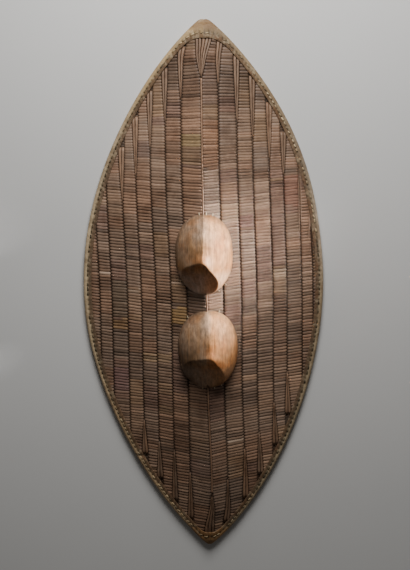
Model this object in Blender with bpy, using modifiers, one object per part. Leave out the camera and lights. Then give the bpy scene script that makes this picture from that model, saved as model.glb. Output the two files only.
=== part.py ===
"""A long woven shield with a keel, a hide rim and two carved wooden bosses, lying on its back.

The shield lies front up on the plane z = 0, its long axis along Y with the upper tip at +Y.
The origin is on that plane, at the middle of the shield's length and width.
Both halves are bent flat from the keel, so the rim lies in one plane and carries the shield.
"""

from math import atan2, cos, exp, pi, radians, sin, sqrt

import bmesh
import bpy

# Overall outline, in metres
LENGTH = 1.100
LEFT_HALF = 0.2555  # widest place, from the keel to the left edge
RIGHT_HALF = 0.2425
WIDEST_Y = 0.004  # the widest place lies this far above the middle
OUTLINE_POWER = 0.85  # 1 gives a parabola, smaller values a fuller outline
TOP_BLUNT = 0.006  # each tip ends this much short of its point
BOTTOM_BLUNT = 0.002
TIP_ROUND = 2.33  # length of the rounding of a tip, for each unit that it is blunted
# Where each side strays from its plain curve: (y of the middle, reach along y, how far out)
LEFT_BULGES = ((0.36, 0.30, -0.0028), (-0.36, 0.32, -0.0088))
RIGHT_BULGES = ((0.32, 0.25, 0.0076), (-0.22, 0.30, -0.0036))

# Keel and flanks
KEEL_RISE = 0.070  # of the keel above the rim, at the widest place
STRAIGHT_SHARE = 0.6  # of the flank's rise; the rest steepens towards the keel
PANEL_THICKNESS = 0.0070
GROOVE_SHARE = 0.66  # of the thickness, left between two columns

# Widths of the woven columns, from the keel outwards
LEFT_COLUMNS = (0.0403, 0.0326, 0.0312, 0.0305, 0.0291, 0.0328, 0.0250)
RIGHT_COLUMNS = (0.0337, 0.0374, 0.0318, 0.0339, 0.0291, 0.0318, 0.0229)
LAST_COLUMN = 0.045  # the outermost column is cut off by the outline

# How far the columns stray sideways: left of the keel, at the keel, right of it
TOP_SWAY = (-0.0085, -0.0065, -0.0060)
BOTTOM_SWAY = (0.0010, 0.0060, 0.0060)
SWAY_START = 0.032  # no straying over this length at each tip
SWAY_FADE = 0.060  # and it grows over this length from there

# Hide rim, folded over the edge of the panel
HIDE = 0.0018
RIM_LIP = 0.0165  # how far the hide reaches in over the front and the back
SLOT_GAP = 0.0012  # between the panel and the inside of the folded hide
RIM_ROUND = 0.0018
RIM_FOOT = 0.0040  # inner edge of the flat strip that the rim stands on
TIP_DEPTH = 1.25  # depth of a line near the tips, for each unit that it is inset
TOP_WEB = 0.018  # more depth of hide in the corner of each tip
BOTTOM_WEB = 0.009
STITCH_INSET = 0.0085  # from the outer edge to the row of stitches
THONG_RADIUS = 0.0008

# Bare splints between the columns at the rim, by length
TOP_LEFT_SPLINTS = (0.102, 0.103, 0.110, 0.116, 0.104)
TOP_RIGHT_SPLINTS = (0.087, 0.129, 0.123, 0.112, 0.083)
BOTTOM_LEFT_SPLINTS = (0.102, 0.108, 0.079, 0.070)
BOTTOM_RIGHT_SPLINTS = (0.094, 0.108, 0.087, 0.087, 0.087)
SPLINT_WIDTH = 0.0130
SPLINT_HEIGHT = 0.0026
SPLINT_TAPER = 0.30  # width and height left at the inner end
TOP_KEEL_SPLINT = (0.078, 0.034)  # length and width
BOTTOM_KEEL_SPLINT = (0.090, 0.021)

# Rod along the keel
ROD_RADIUS = 0.0019
ROD_ROOM = 0.0012  # around the rod, in the groove under each boss

# Bosses
UPPER_BOSS = (-0.005, 0.0775)  # its middle: x from the keel's place, y
UPPER_BOSS_SIZE = (0.117, 0.162, 0.066)  # width, length, height above the keel
UPPER_NOSE = (-0.003, -0.013)  # the nose's place from the middle of the boss
LOWER_BOSS = (0.001, -0.1185)
LOWER_BOSS_SIZE = (0.123, 0.161, 0.068)
LOWER_NOSE = (0.0055, -0.011)
BOSS_CORNER = 2.2  # 2 gives an ellipse, more a squarer outline
BOSS_EDGE = 0.0020  # height of the foot's upright edge
DOME_SHARE = 0.90  # of the boss's height; the nose is the rest
DOME_POWER = 1.75  # towards the sides and below; the crest above the nose is fuller
CREST_POWER = 2.7
DOME_EDGE = 0.60
CUT_POWER = 1.25  # of the steep face cut under the nose; more than 1 makes it hollow
CUT_REACH = 0.95  # length of this face, as a share of that from the nose to the foot
CUT_LEAN = 20  # degrees that it is turned from the keel towards the left
CUT_SOFTNESS = 0.05  # rounding where it meets the dome
NOSE_RADIUS = 0.0150
NOSE_POWER = 3  # 2 gives a pointed nose, more a blunter one
NOSE_DETAIL = 1.3  # more puts the mesh rings nearer the nose
UPPER_LASHINGS = (74, 86, 97, 219, 297, 314)  # degrees around the boss from +X
LOWER_LASHINGS = (70, 128, 261, 280, 293)
LASHING_RADIUS = 0.0009
LASHING_INSIDE = 0.0006  # how far a lashing reaches up the boss from its edge
LASHING_OUTSIDE = 0.0045

# Grip on the back
GRIP_Y = -0.033
GRIP_RADIUS = 0.0090
GRIP_HALF = 0.052  # half the length of the straight bar
GRIP_BEND = 0.024  # length along Y from the bar to each tang
TANG_LENGTH = 0.042
FINGER_GAP = 0.032  # between the bar and the back of the panel
STRAP_RADIUS = 0.0013
STRAP_REACH = 0.030  # from the keel to each end of a strap
STRAP_SPREAD = 0.016  # between the two straps on one tang

# Working values
FIT = 0.0004  # clearance between pieces that touch
RIM_STATIONS = 36  # steps along each side of the rim
PANEL_ROWS = 26  # steps along the panel
TAPER_STEPS = 3

# Worked out from the sizes above
KEEL_X = (LEFT_HALF - RIGHT_HALF) / 2
TOP_REACH = LENGTH / 2 - WIDEST_Y + TOP_BLUNT
BOTTOM_REACH = LENGTH / 2 + WIDEST_Y + BOTTOM_BLUNT
SLOT_HALF = PANEL_THICKNESS / 2 + SLOT_GAP
RIM_HALF = SLOT_HALF + HIDE
PANEL_INSET = HIDE + SLOT_GAP


def material(name, colour, roughness):
    """A plain surface of one colour."""
    mat = bpy.data.materials.new(name)
    mat.use_nodes = True
    shader = mat.node_tree.nodes["Principled BSDF"]
    shader.inputs["Base Color"].default_value = (*colour, 1.0)
    shader.inputs["Roughness"].default_value = roughness
    shader.inputs["Metallic"].default_value = 0.0
    return mat


def new_object(name, data, collection, mat=None):
    """Links a new object, with its material if it has one."""
    obj = bpy.data.objects.new(name, data)
    collection.objects.link(obj)
    if mat:
        data.materials.append(mat)
    return obj


def make_guide(obj):
    """Shows a cutter as wires and keeps it out of renders."""
    obj.hide_render = True
    obj.display_type = "WIRE"
    return obj


def share_along(y):
    """How wide and how high the shield is at y, as a share of its widest place."""
    above = y - WIDEST_Y
    reach = TOP_REACH if above > 0 else BOTTOM_REACH
    return max(0.0, 1 - (above / reach) ** 2) ** OUTLINE_POWER


def ease(share):
    """0 to 1 in a smooth S, held at both ends."""
    share = min(1.0, max(0.0, share))
    return share * share * (3 - 2 * share)


def swayed(nominal, y):
    """Where a line of the weave, at this distance from the keel's place, really runs at y."""
    side = 2 if nominal > 0 else 0
    away = min(1.0, abs(nominal) / 0.03)
    top = TOP_SWAY[1] + (TOP_SWAY[side] - TOP_SWAY[1]) * away
    bottom = BOTTOM_SWAY[1] + (BOTTOM_SWAY[side] - BOTTOM_SWAY[1]) * away
    shift = top * ease((y + 0.05) / 0.30) + bottom * ease((-y - 0.18) / 0.24)
    to_tip = max(0.0, min(TOP_REACH + WIDEST_Y - y, BOTTOM_REACH - WIDEST_Y + y))
    return KEEL_X + nominal + shift * ease((to_tip - SWAY_START) / SWAY_FADE)


def bulge(side, y, outwards):
    """How much farther out the outline runs here than the plain curve of its side."""
    extra = 0.0
    for middle, reach, amount in RIGHT_BULGES if side > 0 else LEFT_BULGES:
        extra += amount * max(0.0, 1 - ((y - middle) / reach) ** 2) ** 2
    return extra * ease(outwards / 0.05)


def mid_height(x, y):
    """Height of the middle of the panel's thickness above the plane it lies on."""
    share = share_along(y)
    keel = swayed(0.0, y)
    if x > keel:
        half_width = RIGHT_HALF
        edge = KEEL_X + half_width * share + bulge(1, y, half_width * share)
        span = edge - keel
        inwards = edge - x
    else:
        half_width = LEFT_HALF
        edge = KEEL_X - half_width * share - bulge(-1, y, half_width * share)
        span = keel - edge
        inwards = x - edge
    if inwards <= 0:
        return RIM_HALF + STRAIGHT_SHARE * KEEL_RISE / half_width * inwards
    part = inwards / span
    return RIM_HALF + KEEL_RISE * share * (STRAIGHT_SHARE * part + (1 - STRAIGHT_SHARE) * part**2)


def steepness(x, y):
    """Length of the surface for each unit of its plan, at this place."""
    step = 0.0005
    outwards = step if x >= swayed(0.0, y) else -step
    along_x = (mid_height(x + outwards, y) - mid_height(x, y)) / step
    along_y = (mid_height(x, y + step) - mid_height(x, y - step)) / (2 * step)
    return sqrt(1 + along_x**2 + along_y**2)


def column_lines():
    """Lines along the panel, from left to right: (nominal place, share of the full thickness)."""
    lines = [(0.0, 1.0)]
    for side, widths in ((1, RIGHT_COLUMNS), (-1, LEFT_COLUMNS)):
        edge = 0.0
        for width in widths + (LAST_COLUMN,):
            lines.append((edge + side * width / 3, 1.0))
            lines.append((edge + side * width * 2 / 3, 1.0))
            edge += side * width
            lines.append((edge, GROOVE_SHARE))
    return sorted(lines)


def fullness(x, y):
    """Share of the full thickness at this place, read off the column lines."""
    lines = [(swayed(nominal, y), share) for nominal, share in column_lines()]
    for (left, left_share), (right, right_share) in zip(lines, lines[1:]):
        if left <= x <= right:
            between = (x - left) / (right - left)
            return left_share + between * (right_share - left_share)
    return GROOVE_SHARE


def front_height(x, y, share=None):
    """Height of the panel's front, or of its crowns where share is 1."""
    if share is None:
        share = fullness(x, y)
    return mid_height(x, y) + share * PANEL_THICKNESS / 2 * steepness(x, y)


def back_height(x, y):
    """Height of the panel's back at its thickest."""
    return mid_height(x, y) - PANEL_THICKNESS / 2 * steepness(x, y)


def tip_drop(outwards, inset, end):
    """How far the outline is drawn in at a tip, over its fold of hide."""
    web = TOP_WEB if end > 0 else BOTTOM_WEB
    blunt = TOP_BLUNT if end > 0 else BOTTOM_BLUNT
    depth = blunt + web * min(1.0, inset / STITCH_INSET)
    return depth * max(0.0, 1 - outwards / (depth * TIP_ROUND)) ** 2


def ring_point(side, angle, inset):
    """A point of the outline, moved in by inset; angle runs from -90 to 90 degrees."""
    half_width = (RIGHT_HALF if side > 0 else LEFT_HALF) - inset
    end = 1 if angle > 0 else -1
    reach = (TOP_REACH if angle > 0 else BOTTOM_REACH) - inset * TIP_DEPTH
    outwards = half_width * max(0.0, cos(angle)) ** (2 * OUTLINE_POWER)
    y = WIDEST_Y + reach * sin(angle) - end * tip_drop(outwards, inset, end)
    return KEEL_X + side * (outwards + bulge(side, y, outwards)), y


def ring(inset):
    """The whole outline, moved in by inset, from the lower tip round by the right."""
    angles = [radians(-90 + 180 * i / RIM_STATIONS) for i in range(RIM_STATIONS)]
    right = [ring_point(1, angle, inset) for angle in angles]
    left = [ring_point(-1, -angle, inset) for angle in angles]
    return right + left


def edge_y(x, inset, end):
    """Where the outline, moved in by inset, crosses x at the upper (1) or lower (-1) end."""
    side = 1 if x > KEEL_X else -1
    half_width = (RIGHT_HALF if side > 0 else LEFT_HALF) - inset
    reach = (TOP_REACH if end > 0 else BOTTOM_REACH) - inset * TIP_DEPTH
    outwards = abs(x - KEEL_X)
    for _ in range(6):
        share = min(1.0, outwards / half_width)
        along = reach * sqrt(1 - share ** (1 / OUTLINE_POWER))
        y = WIDEST_Y + end * (along - tip_drop(outwards, inset, end))
        outwards = max(0.0, abs(x - KEEL_X) - bulge(side, y, outwards))
    return y


def splint_start(nominal, width, end):
    """Where bare reeds of this width on this line begin, just clear of the hide."""
    y = 0.4 * end
    for _ in range(4):
        x = swayed(nominal, y)
        corners = [edge_y(x + side * width / 2, RIM_LIP + 2 * FIT, end) for side in (-1, 1)]
        y = min(corners) if end > 0 else max(corners)
    return y


def mesh_from_curve(curve_obj, name, collection, mat=None):
    """Turns a curve object into a closed mesh object in its place."""
    bpy.context.view_layer.update()
    graph = bpy.context.evaluated_depsgraph_get()
    mesh = bpy.data.meshes.new_from_object(curve_obj.evaluated_get(graph))
    mesh.name = name
    mesh.materials.clear()
    work = bmesh.new()
    work.from_mesh(mesh)
    bmesh.ops.remove_doubles(work, verts=work.verts, dist=1e-6)
    bmesh.ops.recalc_face_normals(work, faces=work.faces)
    work.to_mesh(mesh)
    work.free()
    obj = new_object(name, mesh, collection, mat)
    obj.matrix_world = curve_obj.matrix_world
    bpy.data.objects.remove(curve_obj)
    return obj


def tube(name, points, radius, collection, mat, rounding=1, closed=False):
    """A rod, cord or strap along the points."""
    curve = bpy.data.curves.new(name, "CURVE")
    curve.dimensions = "3D"
    curve.bevel_depth = radius
    curve.bevel_resolution = rounding
    curve.use_fill_caps = not closed
    spline = curve.splines.new("POLY")
    spline.points.add(len(points) - 1)
    spline.use_cyclic_u = closed
    for spot, place in zip(spline.points, points):
        spot.co = (*place, 1.0)
    return new_object(name, curve, collection, mat)


def flat_prism(name, outline, low, high, collection):
    """A flat outline with a thickness, from low to high."""
    curve = bpy.data.curves.new(name, "CURVE")
    curve.dimensions = "2D"
    curve.fill_mode = "BOTH"
    curve.extrude = (high - low) / 2
    spline = curve.splines.new("POLY")
    spline.points.add(len(outline) - 1)
    spline.use_cyclic_u = True
    for spot, (x, y) in zip(spline.points, outline):
        spot.co = (x, y, 0, 1)
    obj = new_object(name + "_outline", curve, collection)
    obj.location.z = (low + high) / 2
    return make_guide(mesh_from_curve(obj, name, collection))


def cut(obj, cutter, operation="DIFFERENCE"):
    """Adds an exact Boolean with the cutter."""
    boolean = obj.modifiers.new(cutter.name, "BOOLEAN")
    boolean.operation = operation
    boolean.object = cutter
    boolean.solver = "EXACT"


def panel_sheet(name, thickness, collection, mat=None, grooved=True):
    """The bent sheet of the panel, larger than the outline, with a thickness."""
    lines = column_lines()
    columns = len(lines) - 1
    work = bmesh.new()
    bmesh.ops.create_grid(work, x_segments=columns, y_segments=PANEL_ROWS, size=1.0)
    layer = work.verts.layers.deform.verify()
    for vert in work.verts:
        column = round((vert.co.x + 1) / 2 * columns)
        row = round((vert.co.y + 1) / 2 * PANEL_ROWS)
        nominal, share = lines[column]
        angle = radians(-90 + 180 * row / PANEL_ROWS)
        reach = TOP_REACH if angle > 0 else BOTTOM_REACH
        y = WIDEST_Y + reach * sin(angle)
        x = swayed(nominal, y)
        vert.co = (x, y, mid_height(x, y))
        vert[layer][0] = share if grooved else 1.0
    mesh = bpy.data.meshes.new(name)
    work.to_mesh(mesh)
    work.free()
    obj = new_object(name, mesh, collection, mat)
    obj.vertex_groups.new(name="fullness")
    solid = obj.modifiers.new("Thickness", "SOLIDIFY")
    solid.thickness = thickness
    solid.offset = 0.0
    solid.use_even_offset = True
    solid.vertex_group = "fullness"
    return obj


def woven_panel(parts, cutters, mat):
    """Both woven halves, with their columns, cut to the outline inside the rim."""
    panel = panel_sheet("woven_panel", PANEL_THICKNESS, parts, mat)
    high = KEEL_RISE + PANEL_THICKNESS * 4
    outline = flat_prism("panel_outline", ring(PANEL_INSET), -RIM_HALF, high, cutters)
    cut(panel, outline, "INTERSECT")
    return panel


def rim_profile():
    """Points around the folded hide: (inset, height, whether from the panel's middle)."""
    return (
        (RIM_LIP, -RIM_HALF, True),
        (RIM_FOOT, 0.0, False),
        (RIM_ROUND, 0.0, False),
        (0.0, RIM_ROUND, False),
        (0.0, RIM_HALF * 2 - RIM_ROUND, False),
        (RIM_ROUND, RIM_HALF, True),
        (RIM_LIP - HIDE / 2, RIM_HALF, True),
        (RIM_LIP, RIM_HALF - HIDE / 2, True),
        (RIM_LIP, SLOT_HALF, True),
        (HIDE, SLOT_HALF, True),
        (HIDE, -SLOT_HALF, True),
        (RIM_LIP, -SLOT_HALF, True),
    )


def hide_rim(parts, mat):
    """The hide, folded over the panel's edge all the way round."""
    profile = rim_profile()
    work = bmesh.new()
    loops = []
    for inset, height, from_middle in profile:
        loop = []
        for x, y in ring(inset):
            z = height + (mid_height(x, y) if from_middle else 0.0)
            loop.append(work.verts.new((x, y, max(0.0, z))))
        loops.append(loop)
    around = len(loops[0])
    for k, loop in enumerate(loops):
        following = loops[(k + 1) % len(loops)]
        for i in range(around):
            j = (i + 1) % around
            work.faces.new((loop[i], loop[j], following[j], following[i]))
    bmesh.ops.recalc_face_normals(work, faces=work.faces)
    mesh = bpy.data.meshes.new("hide_rim")
    work.to_mesh(mesh)
    work.free()
    return new_object("hide_rim", mesh, parts, mat)


def rim_stitching(parts, mat):
    """The thong that sews the hide to the panel, lying on the front of the rim."""
    lift = RIM_HALF + THONG_RADIUS + FIT
    points = [(x, y, mid_height(x, y) + lift) for x, y in ring(STITCH_INSET)]
    return tube("rim_stitching", points, THONG_RADIUS, parts, mat, rounding=0, closed=True)


def splint(name, nominal, end, length, width, parts, mat):
    """Two bare reeds side by side, tapering away from the rim at end 1 (upper) or -1."""
    start = splint_start(nominal, width, end)
    work = bmesh.new()
    sections = []
    for step in range(TAPER_STEPS + 1):
        along = step / TAPER_STEPS
        y = start - end * length * along
        taper = 1 - (1 - SPLINT_TAPER) * along
        half = width / 2 * taper
        tall = SPLINT_HEIGHT * taper
        section = []
        for across, lift in ((-1, 0), (0, 0), (1, 0), (1, 0.4), (0.5, 1), (0, 0.6), (-0.5, 1), (-1, 0.4)):
            place = swayed(nominal, y) + across * half
            rest = front_height(place, y, None if nominal else 1.0) + FIT
            section.append(work.verts.new((place, y, rest + lift * tall)))
        sections.append(section)
    for this, following in zip(sections, sections[1:]):
        for i in range(len(this)):
            j = (i + 1) % len(this)
            work.faces.new((this[i], this[j], following[j], following[i]))
    work.faces.new(sections[0])
    work.faces.new(sections[-1])
    bmesh.ops.recalc_face_normals(work, faces=work.faces)
    mesh = bpy.data.meshes.new(name)
    work.to_mesh(mesh)
    work.free()
    return new_object(name, mesh, parts, mat)


def splints(parts, mat):
    """The bare reeds between the columns at both ends, and those on the keel."""
    groups = (
        ("top_left", -1, 1, LEFT_COLUMNS, TOP_LEFT_SPLINTS),
        ("top_right", 1, 1, RIGHT_COLUMNS, TOP_RIGHT_SPLINTS),
        ("bottom_left", -1, -1, LEFT_COLUMNS, BOTTOM_LEFT_SPLINTS),
        ("bottom_right", 1, -1, RIGHT_COLUMNS, BOTTOM_RIGHT_SPLINTS),
    )
    for place, side, end, widths, lengths in groups:
        for i, length in enumerate(lengths):
            nominal = side * sum(widths[: i + 1])
            splint(f"splint_{place}_{i + 1}", nominal, end, length, SPLINT_WIDTH, parts, mat)
    splint("splint_top_keel", 0.0, 1, *TOP_KEEL_SPLINT, parts, mat)
    splint("splint_bottom_keel", 0.0, -1, *BOTTOM_KEEL_SPLINT, parts, mat)


def keel_rod_points():
    """The rod's middle line, lying on the keel between the two bare splints."""
    steps = 24
    top = splint_start(0.0, TOP_KEEL_SPLINT[1], 1) - TOP_KEEL_SPLINT[0] - FIT
    bottom = splint_start(0.0, BOTTOM_KEEL_SPLINT[1], -1) + BOTTOM_KEEL_SPLINT[0] + FIT
    points = []
    for i in range(steps + 1):
        y = bottom + (top - bottom) * i / steps
        x = swayed(0.0, y)
        points.append((x, y, front_height(x, y, 1.0) + ROD_RADIUS + FIT))
    return points


def boss_outline(size, angle):
    """A point of the boss's foot around its own middle."""
    power = 2 / BOSS_CORNER
    x = abs(cos(angle)) ** power * (1 if cos(angle) >= 0 else -1)
    y = abs(sin(angle)) ** power * (1 if sin(angle) >= 0 else -1)
    return x * size[0] / 2, y * size[1] / 2


def softer_minimum(first, second, softness):
    """The smaller of two values, rounded off where they are nearly the same."""
    share = min(1.0, max(0.0, 0.5 + 0.5 * (second - first) / softness))
    return second * (1 - share) + first * share - softness * share * (1 - share)


def boss_point(middle, size, nose, angle, outwards):
    """A point of the boss's surface; outwards is 0 at the nose and 1 at the foot."""
    foot_x, foot_y = boss_outline(size, angle)
    x = nose[0] + (foot_x - nose[0]) * outwards
    y = nose[1] + (foot_y - nose[1]) * outwards
    foot = front_height(middle[0] + foot_x, middle[1] + foot_y, 1.0) + BOSS_EDGE
    nose_y = middle[1] + nose[1]
    top = front_height(swayed(0.0, nose_y), nose_y, 1.0) + size[2]
    away = sqrt((x - nose[0]) ** 2 + (y - nose[1]) ** 2)
    power = DOME_POWER + (CREST_POWER - DOME_POWER) * max(0.0, sin(angle)) ** 2
    dome = DOME_SHARE * max(0.0, 1 - outwards**power) ** DOME_EDGE
    dome += (1 - DOME_SHARE) * exp(-((away / NOSE_RADIUS) ** NOSE_POWER))
    lean = radians(CUT_LEAN)
    below = -(x - nose[0]) * sin(lean) - (y - nose[1]) * cos(lean)
    face = max(0.0, 1 - below / (CUT_REACH * (size[1] / 2 + nose[1]))) ** CUT_POWER
    lift = softer_minimum(dome, face, CUT_SOFTNESS * (1 - outwards) + 0.0001)
    return middle[0] + x, middle[1] + y, foot + (top - foot) * lift


def boss(name, middle, size, nose, seat, rod_room, parts, mat):
    """A carved boss, hollowed underneath to sit astride the keel and its rod."""
    around = 32
    levels = 16
    work = bmesh.new()
    bmesh.ops.create_uvsphere(work, u_segments=around, v_segments=levels, radius=1.0)
    for vert in work.verts:
        outwards = sqrt(vert.co.x**2 + vert.co.y**2)
        angle = atan2(vert.co.y, vert.co.x)
        if vert.co.z > -1e-6:
            vert.co = boss_point(middle, size, nose, angle, outwards**NOSE_DETAIL)
        else:
            foot_x, foot_y = boss_outline(size, angle)
            x = middle[0] + foot_x * outwards
            y = middle[1] + foot_y * outwards
            vert.co = (x, y, mid_height(x, y))
    mesh = bpy.data.meshes.new(name)
    work.to_mesh(mesh)
    work.free()
    mesh.shade_smooth()
    obj = new_object(name, mesh, parts, mat)
    cut(obj, seat)
    cut(obj, rod_room)
    return obj


def lashing(name, middle, size, nose, degrees, parts, mat):
    """A strip of cane over the boss's edge, from the weave up onto the wood."""
    angle = radians(degrees)
    foot_x, foot_y = boss_outline(size, angle)
    reach = sqrt(foot_x**2 + foot_y**2)
    points = []
    for away in (LASHING_OUTSIDE, LASHING_OUTSIDE * 0.55, LASHING_OUTSIDE * 0.2):
        x = middle[0] + foot_x * (1 + away / reach)
        y = middle[1] + foot_y * (1 + away / reach)
        rise = (LASHING_OUTSIDE - away) * 0.5
        points.append((x, y, front_height(x, y, 1.0) + LASHING_RADIUS + FIT + rise))
    for inside in (0.3, 1.0):
        outwards = 1 - inside * LASHING_INSIDE / reach
        x, y, z = boss_point(middle, size, nose, angle, outwards)
        away = LASHING_RADIUS * 2.2 + FIT
        points.append((x + foot_x / reach * away, y + foot_y / reach * away, z + away))
    return tube(name, points, LASHING_RADIUS, parts, mat, rounding=0)


def bosses(parts, cutters, wood, cane, rod_points):
    """Both bosses with the lashings around their feet."""
    seat = make_guide(
        panel_sheet("boss_seat", PANEL_THICKNESS + 2 * FIT, cutters, grooved=False)
    )
    room = tube("rod_room_line", rod_points, ROD_RADIUS + ROD_ROOM, cutters, None)
    room = make_guide(mesh_from_curve(room, "rod_room", cutters))
    upper = (KEEL_X + UPPER_BOSS[0], UPPER_BOSS[1])
    lower = (KEEL_X + LOWER_BOSS[0], LOWER_BOSS[1])
    boss("upper_boss", upper, UPPER_BOSS_SIZE, UPPER_NOSE, seat, room, parts, wood)
    boss("lower_boss", lower, LOWER_BOSS_SIZE, LOWER_NOSE, seat, room, parts, wood)
    for i, degrees in enumerate(UPPER_LASHINGS):
        name = f"upper_lashing_{i + 1}"
        lashing(name, upper, UPPER_BOSS_SIZE, UPPER_NOSE, degrees, parts, cane)
    for i, degrees in enumerate(LOWER_LASHINGS):
        name = f"lower_lashing_{i + 1}"
        lashing(name, lower, LOWER_BOSS_SIZE, LOWER_NOSE, degrees, parts, cane)


def grip_height(y):
    """Height of a round bar's middle where it lies up against the fold of the back."""
    slope = KEEL_RISE / RIGHT_HALF * (2 - STRAIGHT_SHARE)
    return back_height(swayed(0.0, y), y) - GRIP_RADIUS * sqrt(1 + slope**2) - FIT


def grip(parts, mat):
    """A bent wooden bar along the keel, its tangs against the back of the panel."""
    bar_z = back_height(swayed(0.0, GRIP_Y), GRIP_Y) - FINGER_GAP - GRIP_RADIUS
    points = []
    for end in (-1, 1):
        half = []
        bend_end = GRIP_HALF + GRIP_BEND
        for away in (bend_end + TANG_LENGTH, bend_end + TANG_LENGTH / 2, bend_end + GRIP_RADIUS):
            y = GRIP_Y + end * away
            half.append((swayed(0.0, y), y, grip_height(y)))
        tang_y = GRIP_Y + end * (bend_end + GRIP_RADIUS)
        tang_z = grip_height(tang_y)
        bends = 5
        for i in range(1, bends + 1):
            turn = i / bends
            drop = (1 - cos(pi * turn)) / 2
            y = tang_y + (GRIP_Y + end * GRIP_HALF - tang_y) * turn
            half.append((swayed(0.0, y), y, tang_z + (bar_z - tang_z) * drop))
        y = GRIP_Y + end * GRIP_HALF / 2
        half.append((swayed(0.0, y), y, bar_z))
        points += half if end < 0 else half[::-1]
    return tube("grip", points, GRIP_RADIUS, parts, mat, rounding=2)


def grip_strap(name, y, parts, mat):
    """A cane strap under a tang, from one flank of the back to the other."""
    low = grip_height(y) - GRIP_RADIUS - STRAP_RADIUS - FIT
    points = []
    for share in (-1, -0.72, -0.3, 0, 0.3, 0.72, 1):
        x = swayed(0.0, y) + share * STRAP_REACH
        flank = back_height(x, y) - STRAP_RADIUS * 1.2 - FIT
        if abs(share) < 0.5:
            flank = low
        points.append((x, y, flank))
    return tube(name, points, STRAP_RADIUS, parts, mat)


def grip_straps(parts, mat):
    """Two straps on each tang."""
    middle = GRIP_HALF + GRIP_BEND + TANG_LENGTH * 0.6
    for end, place in ((1, "top"), (-1, "bottom")):
        for i, side in enumerate((-1, 1)):
            y = GRIP_Y + end * middle + side * STRAP_SPREAD / 2
            grip_strap(f"grip_strap_{place}_{i + 1}", y, parts, mat)


def main():
    for old in list(bpy.data.objects):
        bpy.data.objects.remove(old)
    parts = bpy.data.collections.new("woven_shield")
    cutters = bpy.data.collections.new("cutters")
    bpy.context.scene.collection.children.link(parts)
    bpy.context.scene.collection.children.link(cutters)
    cane = material("split_cane", (0.18, 0.11, 0.075), 0.6)
    reed = material("bare_reed", (0.24, 0.15, 0.10), 0.6)
    hide = material("buff_hide", (0.34, 0.25, 0.15), 0.75)
    thong = material("pale_thong", (0.55, 0.45, 0.30), 0.7)
    wood = material("carved_wood", (0.52, 0.37, 0.22), 0.6)
    woven_panel(parts, cutters, cane)
    hide_rim(parts, hide)
    rim_stitching(parts, thong)
    splints(parts, reed)
    rod_points = keel_rod_points()
    tube("keel_rod", rod_points, ROD_RADIUS, parts, reed)
    bosses(parts, cutters, wood, thong, rod_points)
    grip(parts, wood)
    grip_straps(parts, thong)


main()
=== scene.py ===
"""Looks of the woven shield: split cane over flat laths, a folded hide rim, reeds, bosses and a grip.

The shield lies on its back, front up, its long axis along Y, as the solids do. Sizes are in metres.
"""

from math import ceil, cos, exp, hypot, pi, radians, sin, sqrt
from random import Random

import bpy
from bpy.props import FloatProperty, FloatVectorProperty, PointerProperty
from mathutils import Matrix, Vector, noise


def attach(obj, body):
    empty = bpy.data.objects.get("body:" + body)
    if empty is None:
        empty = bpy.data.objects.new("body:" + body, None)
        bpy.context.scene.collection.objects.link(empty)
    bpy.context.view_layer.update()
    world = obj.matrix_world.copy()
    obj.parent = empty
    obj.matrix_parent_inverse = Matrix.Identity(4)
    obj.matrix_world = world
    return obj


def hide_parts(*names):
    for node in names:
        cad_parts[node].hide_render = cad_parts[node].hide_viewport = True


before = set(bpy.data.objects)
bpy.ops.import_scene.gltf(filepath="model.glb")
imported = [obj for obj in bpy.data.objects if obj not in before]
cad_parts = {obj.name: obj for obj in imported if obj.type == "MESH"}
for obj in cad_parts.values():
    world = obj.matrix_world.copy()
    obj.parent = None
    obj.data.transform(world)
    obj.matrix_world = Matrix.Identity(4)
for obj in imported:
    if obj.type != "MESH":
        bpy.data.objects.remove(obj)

bl_info = {
    "name": "Woven shield",
    "version": (1, 0, 0),
    "blender": (4, 5, 0),
    "location": "View3D > Sidebar > Shield",
    "description": "Builds the visible pieces of a long woven shield with two carved bosses",
    "category": "Add Mesh",
}

# Overall outline
LENGTH = 1.1
HALF_WIDTH = {-1: 0.2555, 1: 0.2425}  # left and right
WIDEST_Y = 0.004
OUTLINE_POWER = 0.85
BLUNT = {1: 0.006, -1: 0.002}  # at the upper and the lower tip
TIP_ROUND = 2.33

# Bulges of the outline, left and right: (y of the middle, reach, how far out)
BULGES = {
    -1: ((0.36, 0.3, -0.0028), (-0.36, 0.32, -0.0088)),
    1: ((0.32, 0.25, 0.0076), (-0.22, 0.3, -0.0036)),
}

# Keel and flanks
KEEL_RISE = 0.07
STRAIGHT_SHARE = 0.6
PANEL_THICKNESS = 0.007
LEFT_COLUMNS = (0.0403, 0.0326, 0.0312, 0.0305, 0.0291, 0.0328, 0.025)
RIGHT_COLUMNS = (0.0337, 0.0374, 0.0318, 0.0339, 0.0291, 0.0318, 0.0229)
LAST_COLUMN = 0.045

# How far the columns stray sideways: left of the keel, at the keel, right of it
TOP_SWAY = (-0.0085, -0.0065, -0.006)
BOTTOM_SWAY = (0.001, 0.006, 0.006)
SWAY_START = 0.032
SWAY_FADE = 0.06

# Hide rim
HIDE = 0.0018
RIM_LIP = 0.0165
SLOT_GAP = 0.0012
RIM_FOOT = 0.004
TIP_DEPTH = 1.25
TIP_WEB = {1: 0.018, -1: 0.009}  # deeper hide at the upper and the lower tip
STITCH_INSET = 0.0085

# Bare reeds between the columns at the rim, by length
REED_LENGTHS = {
    "top_left": (0.102, 0.103, 0.11, 0.116, 0.104),
    "top_right": (0.087, 0.129, 0.123, 0.112, 0.083),
    "bottom_left": (0.102, 0.108, 0.079, 0.07),
    "bottom_right": (0.094, 0.108, 0.087, 0.087, 0.087),
}
WEDGE_WIDTH = 0.013
TOP_KEEL_WEDGE = (0.078, 0.034)
BOTTOM_KEEL_WEDGE = (0.09, 0.021)
ROD_RADIUS = 0.0019

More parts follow.
